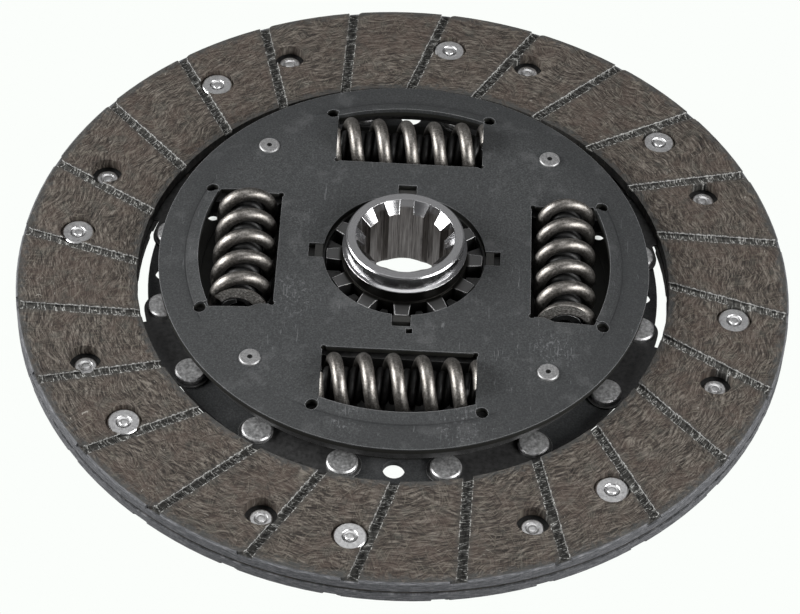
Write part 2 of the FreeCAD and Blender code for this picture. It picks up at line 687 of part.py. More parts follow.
def hub_tooth():
    low_r = HUB_COLLAR_R - 1
    points = [
        (low_r, -TOOTH_ROOT_HALF), (HUB_COLLAR_R, -TOOTH_ROOT_HALF), (TOOTH_TIP_R, -TOOTH_TIP_HALF),
        (TOOTH_TIP_R, TOOTH_TIP_HALF), (HUB_COLLAR_R, TOOTH_ROOT_HALF), (low_r, TOOTH_ROOT_HALF),
    ]
    shape = prism(points, FLANGE_BOTTOM - TOOTH_BOTTOM_GAP, TOOTH_TOP)
    return shape.common(cylinder(TOOTH_TIP_R, FLANGE_BOTTOM - 1, TOOTH_TOP + 1))


def spline_bore():
    z0 = HUB_BOTTOM - 1
    z1 = HUB_TOP + 1
    rim = cylinder(SPLINE_MAJOR_R, z0, z1)
    cuts = [cylinder(SPLINE_MINOR_R, z0, z1)]
    for i in range(SPLINE_COUNT):
        slot = box_along_x(0, SPLINE_MAJOR_R + 1, SPLINE_WIDTH, z0, z1).common(rim)
        cuts.append(turned(slot, SPLINE_TURN + i * 360 / SPLINE_COUNT))
    reach = SPLINE_MAJOR_R - SPLINE_MINOR_R
    for end, inward in ((HUB_TOP, -1), (HUB_BOTTOM, 1)):
        cuts.append(lathe([
            (0, end), (SPLINE_MAJOR_R, end), (SPLINE_MAJOR_R - reach, end + inward * LEAD_IN_DEPTH),
            (0, end + inward * LEAD_IN_DEPTH),
        ]))
    return cuts


def hub():
    teeth = [turned(hub_tooth(), i * 360 / TOOTH_COUNT) for i in range(TOOTH_COUNT)]
    return hub_body().fuse(teeth).cut(spline_bore())


# Friction parts round the hub

def friction_ring():
    """The plastic ring under the retainer plate, held by four lugs in the plate's notches."""
    bore = TOOTH_TIP_R + RING_BORE_GAP
    low = RETAINER_BOTTOM - FRICTION_RING_T
    shape = ring(FRICTION_RING_R, bore, low, RETAINER_BOTTOM)
    lug = box_along_x(RETAINER_OPENING_R + RUNNING_CLEARANCE, LUG_NOTCH_R - LUG_INSET,
                      LUG_NOTCH_WIDTH - 2 * RUNNING_CLEARANCE, RETAINER_BOTTOM - 1, RETAINER_TOP - LUG_SINK)
    return shape.fuse([turned(lug, a) for a in quarter_angles()])


def disc_spring():
    """The cone-shaped spring between the flange and the friction ring."""
    z0 = FLANGE_TOP + RUNNING_CLEARANCE
    z1 = RETAINER_BOTTOM - FRICTION_RING_T - RUNNING_CLEARANCE
    r0 = TOOTH_BORE_R + DISC_SPRING_MARGIN
    r1 = FRICTION_RING_R - DISC_SPRING_MARGIN
    return lathe([(r0, z1 - DISC_SPRING_T), (r1, z0), (r1, z0 + DISC_SPRING_T), (r0, z1)])


def centring_bush():
    collar_top = DRIVEN_TOP + BUSH_COLLAR_T
    bore = HUB_JOURNAL_R + RUNNING_CLEARANCE
    return lathe([
        (bore, DRIVEN_BOTTOM), (BUSH_R, DRIVEN_BOTTOM), (BUSH_R, DRIVEN_TOP), (BUSH_COLLAR_R, DRIVEN_TOP),
        (BUSH_COLLAR_R, collar_top), (bore, collar_top),
    ])


def friction_washer():
    low = DRIVEN_TOP + BUSH_COLLAR_T
    return ring(WASHER_R, TOOTH_BORE_R + WASHER_BORE_GAP, low, FLANGE_BOTTOM - RUNNING_CLEARANCE)


# All nodes

def collect():
    PARTS["facing_gearbox_side"] = facing()
    PARTS["facing_flywheel_side"] = flipped(PARTS["facing_gearbox_side"])
    rivets = Part.makeCompound(facing_rivets())
    PARTS["facing_rivets_gearbox_side"] = rivets
    PARTS["facing_rivets_flywheel_side"] = flipped(rivets)
    blank = segment()
    for i in range(SEGMENT_COUNT):
        PARTS["cushion_segment_%d" % (i + 1)] = turned(blank, SEGMENT_TURN + i * 360 / SEGMENT_COUNT)
    PARTS["segment_rivets"] = Part.makeCompound([segment_rivet(a) for a in segment_rivet_angles()])
    PARTS["driven_plate"] = driven_plate()
    PARTS["retainer_plate"] = retainer_plate()
    PARTS["hub_flange"] = hub_flange()
    PARTS["stop_pins"] = Part.makeCompound([stop_pin(a) for a in quarter_angles(45)])
    for number in SPRING_PHASES:
        PARTS["damper_spring_%d" % number] = damper_spring(number)
        PARTS["inner_spring_%d" % number] = inner_spring(number)
    PARTS["hub"] = hub()
    PARTS["friction_ring"] = friction_ring()
    PARTS["disc_spring"] = disc_spring()
    PARTS["centring_bush"] = centring_bush()
    PARTS["friction_washer"] = friction_washer()


collect()
os.makedirs("parts", exist_ok=True)
for name, shape in PARTS.items():
    shape.exportStep("parts/%s.step" % name)
    print(name, "solids", len(shape.Solids), "valid", shape.isValid(), "volume", round(shape.Volume, 1))
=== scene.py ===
import math
import bmesh
import bpy
from mathutils import Matrix, Vector


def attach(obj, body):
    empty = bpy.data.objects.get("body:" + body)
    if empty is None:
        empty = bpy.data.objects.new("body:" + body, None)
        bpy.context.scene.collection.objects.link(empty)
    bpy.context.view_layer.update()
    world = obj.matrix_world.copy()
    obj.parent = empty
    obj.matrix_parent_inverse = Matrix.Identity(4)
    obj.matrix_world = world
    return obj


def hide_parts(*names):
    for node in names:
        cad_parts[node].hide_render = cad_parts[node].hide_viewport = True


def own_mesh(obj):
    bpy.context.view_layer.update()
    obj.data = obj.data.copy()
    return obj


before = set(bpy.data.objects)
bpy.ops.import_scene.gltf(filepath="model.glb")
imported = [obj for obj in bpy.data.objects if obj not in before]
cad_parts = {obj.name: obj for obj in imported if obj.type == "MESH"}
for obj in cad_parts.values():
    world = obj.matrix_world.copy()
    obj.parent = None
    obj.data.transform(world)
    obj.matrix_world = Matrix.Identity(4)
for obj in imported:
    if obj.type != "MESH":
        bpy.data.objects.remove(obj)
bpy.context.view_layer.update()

MM = 0.001

# The camera's fit to the photograph
CAMERA_ELEVATION = math.radians(48.161)
CAMERA_ROLL = math.radians(2.891)
CAMERA_DISTANCE = 0.89511
CAMERA_AIM = Vector((-0.000537, -0.009685, 0.0))
CAMERA_LENS = 136.76
CAMERA_SENSOR = 36.0

# Sizes that repeat the CAD model's, in millimetres and degrees
FACE_Z = 4.2
FACE_RIM_R = 114.0
FACE_INNER_R = 78.6
FLIP_AXIS = 8.5
GROOVE_OFFSET = 23.0
GROOVE_HALF = 1.35
GROOVE_STEP = 15.0
GROOVE_TURN = 88.4
RETAINER_TOP = 12.5
DISH_START_R = 45.0
DISH_CURVE_R = 166.0
PIN_CENTRE = 42.497
SPLINE_MAJOR_R = 14.5
HUB_NECK_R = 17.3
HUB_COLLAR_BOTTOM = 15.3
RIVET_COUNT = 8
RIVET_CIRCLE_R = 98.2
RIVET_HEAD_TURN = -6.5
RIVET_TAIL_TURN = -21.5
RIVET_HEAD_TOP = 3.1
RIVET_TAIL_TOP = 0.9
RIVET_BORE_R = 2.0
SPRING_CIRCLE_R = 47.0
SPRING_Z = 7.9
SPRING_OUTER_R = 9.5
SPRING_WIRE_R = 1.95
SPRING_PITCH = 8.4
SPRING_END_TURN = 0.5
SPRING_END_CUT = 0.6
SPRING_SHORT = 42.8
SPRING_LONG = 44.0
SPRING_LENGTHS = {1: SPRING_SHORT, 2: SPRING_LONG, 3: SPRING_SHORT, 4: SPRING_LONG}
SPRING_PHASES = {1: 0.455, 2: 0.067, 3: 0.768, 4: 0.946}

# Sizes of the pieces that only the scene has, in millimetres
SPRING_END_ROOM = 1.15
SPRING_STEPS = 36
SPRING_SIDES = 24
INNER_OUTER_R = 5.4
INNER_WIRE_R = 1.15
INNER_PITCH = 2.5
INNER_STEPS = 24
INNER_SIDES = 12
LIP_ROOT_R = 60.8
LIP_PROFILE = ((60.8, -0.9), (53.4, -0.9), (52.2, -1.3), (52.2, -2.3), (60.8, -2.3))
LIP_HALF_LENGTH = 21.6
LIP_COLUMNS = 12
DIMPLE_PROFILE = (
    (RIVET_BORE_R, -0.10), (1.75, -0.22), (1.30, -0.30), (1.15, -0.12), (0.75, -0.05), (0.40, -0.06),
)
DIMPLE_SIDES = 24
FLOOR_Z = -4.8
FLOOR_HALF = 3000.0
SHADOW_INNER_R = 34.0
SHADOW_OUTER_R = 61.0
SHADOW_FADE = 3.0

# Places of marks in the finishes, in millimetres
RUBBED_SPOTS = (
    (-33.0, -19.0, 11.0), (-30.0, 12.0, 6.0), (17.0, -63.0, 9.0), (44.0, -34.0, 9.0), (-14.0, -63.0, 7.0),
)
# Reach of the painted shade below the retainer plate's face: inside this radius, or above this height
SHADE_BELOW_R = 67.0
SHADE_BELOW_Z = 4.0
LIP_LINE_R = 64.2
BORE_MOUTH_Z = 18.0
TEETH_R = 19.6

BACKDROP = (0.965, 0.99, 0.965, 1.0)
# Tone of the painted shade on the plates: towards the rim and beside the window creases
PAINTED_SHADE_TONE = (0.020, 0.021, 0.022, 1.0)


def grey(value):
    return (value, value, value, 1.0)


# Nodes of a material

class Net:
    """A material's nodes, added one at a time in front of its shader."""

    def __init__(self, name):
        self.material = bpy.data.materials.new(name)
        self.material.use_nodes = True
        self.tree = self.material.node_tree
        self.shader = self.tree.nodes["Principled BSDF"]

    def put(self, socket, value):
        """Links another socket to this one, or sets a constant on it."""
        if isinstance(value, bpy.types.NodeSocket):
            self.tree.links.new(value, socket)
        else:
            socket.default_value = value

    def node(self, kind, values, **settings):
        node = self.tree.nodes.new("ShaderNode" + kind)
        for name, value in settings.items():
            setattr(node, name, value)
        for name, value in values.items():
            self.put(node.inputs[name], value)
        return node

    def math(self, operation, *values):
        return self.node("Math", dict(enumerate(values)), operation=operation).outputs[0]

    def plus(self, a, b):
        return self.math("ADD", a, b)

    def minus(self, a, b):
        return self.math("SUBTRACT", a, b)

    def times(self, a, b):
        return self.math("MULTIPLY", a, b)

    def larger(self, a, b):
        return self.math("MAXIMUM", a, b)

    def vector(self, operation, *values):
        node = self.node("VectorMath", dict(enumerate(values)), operation=operation)
        return node.outputs["Value" if operation in ("DOT_PRODUCT", "LENGTH") else "Vector"]

    def span(self, value, start, end, low=0.0, high=1.0):
        """Goes smoothly from low to high as value goes from start to end."""
        values = {"Value": value, "From Min": start, "From Max": end, "To Min": low, "To Max": high}
        return self.node("MapRange", values, interpolation_type="SMOOTHSTEP").outputs["Result"]

    def noise(self, vector, scale, detail=2.0, roughness=0.5, distortion=0.0):
        values = {"Vector": vector, "Scale": scale, "Detail": detail}
        values.update({"Roughness": roughness, "Distortion": distortion})
        return self.node("TexNoise", values).outputs[0]

    def mix(self, share, a, b):
        """Colour a where share is 0 and colour b where it is 1."""
        node = self.node("Mix", {0: share}, data_type="RGBA")
        self.put(node.inputs[6], a)
        self.put(node.inputs[7], b)
        return node.outputs[2]

    def ramp(self, value, *stops):
        """The colour at value between the stops, each a place and a colour."""
        node = self.node("ValToRGB", {0: value})
        elements = node.color_ramp.elements
        while len(elements) < len(stops):
            elements.new(0.5)
        for element, (place, colour) in zip(elements, stops):
            element.position = place
            element.color = colour
        return node.outputs[0]

    def join(self, x, y, z):
        return self.node("CombineXYZ", {0: x, 1: y, 2: z}).outputs[0]

    def split(self, vector):
        return self.node("SeparateXYZ", {0: vector}).outputs

    def place(self):
        """The point's place on the object in millimetres."""
        coordinates = self.node("TexCoord", {}).outputs["Object"]
        return self.node("VectorMath", {0: coordinates, 3: 1 / MM}, operation="SCALE").outputs[0]

    def distance(self, x, y):
        return self.math("SQRT", self.plus(self.times(x, x), self.times(y, y)))

    def angle(self, x, y):
        return self.math("ARCTAN2", y, x)

    def bump(self, height, depth, normal=None, strength=1.0):
        values = {"Height": height, "Distance": depth * MM, "Strength": strength}
        if normal is not None:
            values["Normal"] = normal
        return self.node("Bump", values).outputs[0]

    def soft_edge(self, radius):
        """The normal, rounded over the edges."""
        return self.node("Bevel", {"Radius": radius * MM}, samples=4).outputs[0]

    def edge_share(self, rounded):
        """1 on an edge and 0 away from it."""
        flat = self.node("NewGeometry", {}).outputs["Normal"]
        return self.span(self.vector("DOT_PRODUCT", flat, rounded), 0.99, 0.86)

    def finish(self, **inputs):
        """Sets the shader's inputs by name and gives the material."""
        for name, value in inputs.items():
            self.put(self.shader.inputs[name.replace("_", " ")], value)
        return self.material


# Friction lining

def fibre_field(net, place, radius, angle, sway_scale, bend, width, length):
    """Fibres that run round the ring and sway by bend millimetres, 0 between them and 1 on them."""
    sway = net.noise(place, sway_scale, 0.6, 0.5)
    bent = net.math("MULTIPLY_ADD", net.minus(sway, 0.5), bend, radius)
    turn = FACE_RIM_R / length
    around = net.join(
        net.times(net.math("COSINE", angle), turn),
        net.times(net.math("SINE", angle), turn),
        net.math("DIVIDE", bent, width),
    )
    return net.noise(around, 1.0, 2.0, 0.55)


def slanted_hairs(net, x, y, slant, layer):
    """Straight hairs at one slant, dark at 0 and light at 1."""
    c = math.cos(math.radians(slant))
    s = math.sin(math.radians(slant))
    along = net.plus(net.times(x, c), net.times(y, s))
    across = net.minus(net.times(y, c), net.times(x, s))
    sway = net.noise(net.join(along, across, layer), 0.07, 1.0)
    across = net.math("MULTIPLY_ADD", sway, 10.0, across)
    hairs = net.join(net.times(along, 0.20), net.times(across, 2.1), layer)
    return net.noise(hairs, 1.0, 2.0, 0.6)


def groove_place(net, radius, angle, z):
    """How far a point is across and along its nearest groove, in millimetres."""
    under = net.math("LESS_THAN", z, 0.0)
    side = net.minus(1.0, net.times(under, 2.0))
    flip = math.radians(2 * FLIP_AXIS)
    turned = net.math("MULTIPLY_ADD", angle, side, net.times(under, flip))
    lean = net.math("ARCSINE", net.math("DIVIDE", GROOVE_OFFSET, radius))
    step = math.radians(GROOVE_STEP)
    past_first = net.minus(net.minus(turned, math.radians(GROOVE_TURN)), lean)
    count = net.math("DIVIDE", past_first, step)
    off = net.minus(count, net.math("ROUND", count))
    reach = net.minus(net.times(radius, radius), GROOVE_OFFSET ** 2)
    along = net.math("SQRT", net.larger(reach, 1.0))
    across = net.times(net.times(off, step), along)
    return across, along


def lining_fibres(net, place, x, y, radius, angle):
    """Brown fibres over grey resin, slanted hairs and a few bright brass ones: their colour and height."""
    coarse = fibre_field(net, place, radius, angle, 0.085, 9.0, 0.62, 4.6)
    fine = fibre_field(net, place, radius, angle, 0.125, 7.5, 0.34, 3.2)
    height = net.plus(net.times(coarse, 0.5), net.times(fine, 0.5))
    fibres = net.ramp(
        height, (0.38, (0.011, 0.009, 0.008, 1.0)), (0.46, (0.043, 0.035, 0.029, 1.0)),
        (0.53, (0.080, 0.067, 0.056, 1.0)), (0.63, (0.175, 0.156, 0.134, 1.0)),
    )
    patches = net.noise(place, 0.10, 3.0, 0.6)
    fibres = net.mix(net.span(patches, 0.42, 0.64, 0.0, 0.45), fibres, (0.076, 0.054, 0.044, 1.0))
    resin = net.span(net.noise(place, 0.21, 3.0, 0.6), 0.52, 0.68, 0.0, 0.4)
    fibres = net.mix(resin, fibres, (0.064, 0.065, 0.056, 1.0))
    for slant, layer in ((62.0, 2.0), (118.0, 5.0), (12.0, 8.0)):
        hairs = slanted_hairs(net, x, y, slant, layer)
        fibres = net.mix(net.span(hairs, 0.43, 0.33, 0.0, 0.6), fibres, (0.022, 0.018, 0.015, 1.0))
        fibres = net.mix(net.span(hairs, 0.59, 0.69, 0.0, 0.6), fibres, (0.150, 0.136, 0.110, 1.0))
        height = net.math("MULTIPLY_ADD", hairs, 0.25, height)
    height = net.minus(height, 0.375)
    bright = fibre_field(net, place, radius, angle, 0.1, 14.0, 0.36, 2.6)
    glints = net.span(bright, 0.70, 0.76, 0.0, 0.6)
    return net.mix(glints, fibres, (0.40, 0.38, 0.34, 1.0)), height


def lining_edges(net, place, radius, colour):
    """Soot along the ring's outer and inner edges."""
    grime = net.noise(place, 0.5, 4.0, 0.65)
    wander = net.times(net.minus(grime, 0.5), 7.0)
    outer = net.span(net.plus(radius, wander), FACE_RIM_R - 3.4, FACE_RIM_R - 0.6)
    inner = net.span(net.minus(radius, wander), FACE_INNER_R + 2.6, FACE_INNER_R + 0.2)
    blotches = net.times(net.larger(outer, inner), net.span(grime, 0.3, 0.6, 0.45, 0.8))
    return net.mix(blotches, colour, (0.052, 0.054, 0.053, 1.0))


def lining_grooves(net, across, along, level, colour):
    """A darker border, painted shade on the floor and walls with light ticks across the floor, and light,
    torn upper edges that are a painted highlight.
    """
    side = net.math("ABSOLUTE", across)
    border = net.span(side, GROOVE_HALF + 1.7, GROOVE_HALF + 0.1, 0.0, 0.45)
    colour = net.mix(border, colour, (0.046, 0.044, 0.040, 1.0))
    near = net.span(side, GROOVE_HALF + 0.30, GROOVE_HALF + 0.05)
    inside = net.times(near, net.span(level, FACE_Z - 0.02, FACE_Z - 0.10))
    strokes = net.noise(net.join(along, net.times(across, 0.22), 3.0), 0.85, 2.0, 0.6)
    ticks = net.span(net.math("ABSOLUTE", net.minus(strokes, 0.5)), 0.030, 0.004)
    # Painted shade on the groove's floor and walls, mottled, with light ticks across the floor
    blotches = net.noise(net.join(along, across, 0.0), 0.9, 3.0, 0.6)
    floor = net.ramp(blotches, (0.35, (0.014, 0.014, 0.013, 1.0)), (0.65, (0.070, 0.068, 0.062, 1.0)))
    floor = net.mix(net.times(ticks, net.span(blotches, 0.38, 0.50, 0.15, 1.0)), floor, (0.46, 0.46, 0.44, 1.0))
    # Painted highlight along the walls' upper edges and on the brim, torn by noise
    torn = net.noise(net.join(along, net.times(level, 2.0), 7.0), 1.6, 3.0, 0.65)
    lip = net.times(net.span(level, FACE_Z - 0.50, FACE_Z - 0.30), net.span(torn, 0.43, 0.52, 0.10, 1.0))
    colour = net.mix(inside, colour, net.mix(lip, floor, (0.60, 0.60, 0.59, 1.0)))
    brim = net.times(net.span(side, GROOVE_HALF + 0.32, GROOVE_HALF + 0.12), net.span(torn, 0.50, 0.60))
    return net.mix(net.times(brim, net.minus(1.0, inside)), colour, (0.42, 0.42, 0.40, 1.0))


def lining_rim(net, radius, angle, level, colour):
    """The ring's cut outer side, grey with light and dark strokes along it."""
    on_rim = net.span(radius, FACE_RIM_R - 0.75, FACE_RIM_R - 0.35)
    strokes = net.noise(net.join(net.times(angle, 14.0), net.times(level, 1.6), 0.0), 2.4, 5.0, 0.75)
    rim = net.ramp(
        strokes, (0.32, (0.036, 0.038, 0.041, 1.0)), (0.5, (0.108, 0.111, 0.118, 1.0)),
        (0.68, (0.27, 0.27, 0.28, 1.0)),
    )
    return net.mix(on_rim, colour, rim)


def friction_lining():
    net = Net("friction_lining")
    place = net.place()
    x, y, z = net.split(place)
    radius = net.distance(x, y)
    angle = net.angle(x, y)
    across, along = groove_place(net, radius, angle, z)
    level = net.math("ABSOLUTE", z)
    colour, height = lining_fibres(net, place, x, y, radius, angle)
    colour = lining_edges(net, place, radius, colour)
    colour = lining_grooves(net, across, along, level, colour)
    colour = lining_rim(net, radius, angle, level, colour)
    pits = net.noise(place, 1.6, 3.0, 0.6)
    relief = net.plus(height, net.times(pits, 0.12))
    normal = net.bump(relief, 0.45, net.soft_edge(0.25), 0.8)
    rough = net.span(height, 0.3, 0.7, 0.85, 0.62)
    return net.finish(Base_Color=colour, Roughness=rough, Normal=normal, Specular_IOR_Level=0.3)


# Plates

def phosphate_coat(net, place, grain):
    """Grained dark grey with clouds, smudges and fine scratches."""
    clouds = net.noise(place, 0.045, 3.0, 0.55)
    colour = net.ramp(
        grain, (0.3, (0.014, 0.015, 0.015, 1.0)), (0.5, (0.040, 0.042, 0.043, 1.0)),
        (0.7, (0.088, 0.091, 0.092, 1.0)),
    )
    colour = net.mix(net.span(clouds, 0.35, 0.7, 0.0, 0.3), colour, (0.031, 0.033, 0.035, 1.0))
    smudge = net.span(net.noise(place, 0.085, 5.0, 0.68), 0.53, 0.66, 0.0, 0.45)
    colour = net.mix(net.times(smudge, grain), colour, (0.15, 0.152, 0.154, 1.0))
    field = net.noise(net.vector("MULTIPLY", place, (0.5, 0.05, 0.5)), 3.0, 3.0, 0.6, 0.6)
    scratches = net.times(net.span(field, 0.66, 0.72), net.span(clouds, 0.45, 0.55))
    return net.mix(net.times(scratches, 0.4), colour, (0.22, 0.225, 0.23, 1.0))


def rubbed_spots(net, place, x, y, colour):
    """Light flecks and fine lines in a few spots."""
    flecks = net.span(net.noise(place, 1.0, 4.0, 0.7), 0.55, 0.66)
    strokes = net.noise(net.join(net.times(x, 2.4), net.times(y, 0.16), 4.0), 1.0, 2.0)
    marks = net.larger(flecks, net.span(strokes, 0.62, 0.70))
    for spot_x, spot_y, reach in RUBBED_SPOTS:
        away = net.distance(net.minus(x, spot_x), net.minus(y, spot_y))
        near = net.span(away, reach, 0.4 * reach)
        colour = net.mix(net.times(near, marks), colour, (0.125, 0.128, 0.132, 1.0))
    return colour


def retainer_depth(net, radius, z):
    """How far a point is below the retainer plate's dished face, in millimetres."""
    past = net.larger(net.minus(radius, DISH_START_R), 0.0)
    drop = net.math("DIVIDE", net.times(past, past), 2 * DISH_CURVE_R)
    return net.minus(net.minus(RETAINER_TOP, drop), z)


def shade_below_retainer(net, radius, z, depth, colour):
    """Painted shade, nearly black, on the plates' faces that lie below the retainer plate's top face, near
    the middle or high up: the cut sides at the windows, the retainer's rim and what lies under the
    retainer.
    """
    inside = net.span(radius, SHADE_BELOW_R, SHADE_BELOW_R - 0.5)
    above = net.span(z, SHADE_BELOW_Z, SHADE_BELOW_Z + 1)
    cut = net.times(net.span(depth, 0.35, 0.6), net.larger(inside, above))
    return net.mix(cut, colour, (0.015, 0.015, 0.013, 1.0))


def window_creases(net, radius, angle, depth, colour):
    """The windows' outer lips as a crease painted dark, with painted shade beside it: the colour and the
    crease's share.
    """
    by_window = net.span(net.math("COSINE", net.times(angle, 4.0)), -0.35, -0.15)
    beside = net.times(by_window, net.span(depth, 0.5, 0.3))
    crease = net.span(net.math("ABSOLUTE", net.minus(radius, LIP_LINE_R)), 0.35, 0.0)
    crease = net.times(crease, beside)
    shade = net.span(net.math("ABSOLUTE", net.minus(radius, LIP_LINE_R + 0.5)), 1.7, 0.0, 0.0, 0.4)
    # Painted shade beside the crease, then the crease line painted dark
    colour = net.mix(net.times(shade, beside), colour, PAINTED_SHADE_TONE)
    colour = net.mix(net.times(crease, 0.6), colour, (0.016, 0.017, 0.018, 1.0))
    return colour, crease


def phosphated_steel():
    """The plates' phosphate coat, rubbed lighter on its edges, partly as a painted highlight, with painted
    shade towards the rim, below the retainer's face and at the window creases.
    """
    net = Net("phosphated_steel")
    place = net.place()
    x, y, z = net.split(place)
    radius = net.distance(x, y)
    depth = retainer_depth(net, radius, z)
    grain = net.noise(place, 1.9, 5.0, 0.8)
    colour = phosphate_coat(net, place, grain)
    # Painted shade, darker towards the retainer plate's rim
    colour = net.mix(net.span(radius, 57.0, 68.0, 0.0, 0.25), colour, PAINTED_SHADE_TONE)
    colour = rubbed_spots(net, place, x, y, colour)
    # Painted shade below the retainer plate's face
    colour = shade_below_retainer(net, radius, z, depth, colour)
    colour, crease = window_creases(net, radius, net.angle(x, y), depth, colour)
    rounded = net.soft_edge(0.3)
    # Top-face edges rubbed lighter: partly wear, partly a painted highlight
    worn = net.times(net.edge_share(rounded), net.span(depth, 0.5, 0.3, 0.15, 0.8))
    colour = net.mix(worn, colour, (0.30, 0.305, 0.31, 1.0))
    rough = net.span(grain, 0.3, 0.8, 0.66, 0.5)
    relief = net.minus(net.times(grain, 0.05), crease)
    normal = net.bump(relief, 0.25, rounded, 0.6)
    return net.finish(Base_Color=colour, Roughness=rough, Normal=normal, Specular_IOR_Level=0.3)


# Other metals and plastic

def machined_steel():
    """The hub: turned bright above, darker teeth below with painted highlights on their edges, a ring of
    painted shade round the neck under the collar, brown and grey bands in the bore.
    """
    net = Net("machined_steel")
    place = net.place()
    x, y, z = net.split(place)
    radius = net.distance(x, y)
    turned = net.noise(net.join(0.0, net.times(radius, 3.0), net.times(z, 3.0)), 2.0, 3.0, 0.7)
    bands = net.join(net.times(x, 2.2), net.times(y, 2.2), net.times(z, 0.08))
    broached = net.noise(bands, 1.0, 3.0, 0.7)
    within = net.span(radius, SPLINE_MAJOR_R + 0.5, SPLINE_MAJOR_R + 0.1)
    bore = net.times(within, net.span(z, BORE_MOUTH_Z, BORE_MOUTH_Z - 1))
    bright = net.mix(turned, (0.50, 0.50, 0.51, 1.0), (0.66, 0.66, 0.67, 1.0))
    cut = net.ramp(
        broached, (0.3, (0.16, 0.155, 0.15, 1.0)), (0.5, (0.34, 0.32, 0.31, 1.0)),
        (0.7, (0.62, 0.60, 0.58, 1.0)),
    )
    colour = net.mix(bore, bright, cut)
    # Below the collar: painted shade on the ring round the neck, the teeth's own darker grey beyond it, and
    # painted highlights on the teeth's edges, white and hardly metallic
    below = net.span(z, HUB_COLLAR_BOTTOM + 0.05, HUB_COLLAR_BOTTOM - 0.1)
    low = net.times(below, net.span(radius, HUB_NECK_R - 0.9, HUB_NECK_R - 0.5))
    rounded = net.soft_edge(0.32)
    edges = net.times(net.edge_share(rounded), net.span(radius, TEETH_R - 0.8, TEETH_R))
    teeth_tone_and_shade = net.mix(net.span(radius, TEETH_R - 1.0, TEETH_R), (0.026, 0.025, 0.023, 1.0), grey(0.150))
    colour = net.mix(low, colour, net.mix(edges, teeth_tone_and_shade, grey(1.0)))
    rough = net.mix(bore, net.span(turned, 0.3, 0.7, 0.17, 0.26), net.span(broached, 0.3, 0.7, 0.26, 0.40))
    rough = net.mix(low, rough, grey(0.45))
    relief = net.mix(bore, turned, broached)
    normal = net.bump(relief, 0.01, rounded, 0.4)
    metal = net.span(net.times(edges, low), 0.0, 1.0, 1.0, 0.2)
    return net.finish(Base_Color=colour, Metallic=metal, Roughness=rough, Normal=normal)


def spring_steel():
    """Oil-darkened, shot-peened wire with pale ground ends, partly bare steel and partly a painted
    highlight.
    """
    net = Net("spring_steel")
    place = net.place()
    x, y = net.split(place)[:2]
    beside = net.math("ABSOLUTE", x)
    ahead = net.math("ABSOLUTE", y)
    longer = net.math("LESS_THAN", beside, ahead)
    half = net.math("MULTIPLY_ADD", longer, (SPRING_LONG - SPRING_SHORT) / 2, SPRING_SHORT / 2)
    past = net.minus(net.math("MINIMUM", beside, ahead), half)
    ground = net.span(past, -0.08, -0.03)
    peened = net.noise(place, 1.9, 3.0, 0.7)
    film = net.noise(place, 0.30, 3.0, 0.6)
    colour = net.ramp(
        film, (0.3, (0.190, 0.178, 0.163, 1.0)), (0.55, (0.270, 0.255, 0.236, 1.0)),
        (0.75, (0.36, 0.345, 0.325, 1.0)),
    )
    colour = net.mix(net.span(peened, 0.52, 0.64, 0.0, 0.6), colour, (0.52, 0.50, 0.47, 1.0))
    colour = net.mix(net.span(peened, 0.46, 0.36, 0.0, 0.6), colour, (0.085, 0.078, 0.070, 1.0))
    swirls = net.noise(net.vector("MULTIPLY", place, (1.0, 1.0, 1.6)), 1.3, 4.0, 0.8)
    # Ground ends: pale bare steel, lightened further as a painted highlight
    bare_end_and_highlight = net.ramp(
        swirls, (0.36, (0.16, 0.15, 0.14, 1.0)), (0.5, (0.42, 0.40, 0.37, 1.0)),
        (0.64, (0.95, 0.93, 0.90, 1.0)),
    )
    colour = net.mix(ground, colour, bare_end_and_highlight)
    rough = net.larger(net.span(peened, 0.3, 0.75, 0.38, 0.50), net.times(ground, 0.55))
    normal = net.bump(peened, 0.05, None, 0.6)
    return net.finish(Base_Color=colour, Metallic=1.0, Roughness=rough, Normal=normal)


def pin_steel():
    """The pins' lathe-turned ends, with a black dot of painted shade over the dimple in the middle of each.
    """
    net = Net("pin_steel")
    place = net.place()
    x, y = net.split(place)[:2]
    beside = net.minus(net.math("ABSOLUTE", x), PIN_CENTRE)
    ahead = net.minus(net.math("ABSOLUTE", y), PIN_CENTRE)
    away = net.distance(beside, ahead)
    # Painted shade: a black, fully rough dot over each pin's dimple
    dot = net.span(away, 0.90, 0.70)
    mottle = net.noise(place, 1.7, 4.0, 0.7)
    colour = net.ramp(mottle, (0.3, grey(0.22)), (0.5, grey(0.33)), (0.7, grey(0.50)))
    colour = net.mix(dot, colour, grey(0.001))
    rounded = net.soft_edge(0.25)
    worn = net.times(net.edge_share(rounded), net.span(away, 1.0, 1.4, 0.0, 0.6))
    colour = net.mix(worn, colour, grey(0.8))
    metal = net.span(away, 0.75, 0.90, 0.0, 0.75)
    rough = net.larger(net.span(mottle, 0.3, 0.7, 0.40, 0.55), dot)
    normal = net.bump(mottle, 0.03, rounded, 0.5)
    return net.finish(Base_Color=colour, Metallic=metal, Roughness=rough, Normal=normal)


def plain_steel(name, dark, light, rough, metallic, grain):
    """Sheet or rivet steel with a mottled surface and rubbed edges."""
    net = Net(name)
    place = net.place()
    mottle = net.noise(place, grain, 4.0, 0.65)
    colour = net.ramp(mottle, (0.3, grey(dark)), (0.7, grey(light)))
    rounded = net.soft_edge(0.2)
    worn = net.times(net.edge_share(rounded), 0.5)
    colour = net.mix(worn, colour, grey(0.6))
    roughness = net.span(mottle, 0.25, 0.75, rough, rough + 0.15)
    normal = net.bump(mottle, 0.03, rounded, 0.5)
    return net.finish(Base_Color=colour, Metallic=metallic, Roughness=roughness, Normal=normal)


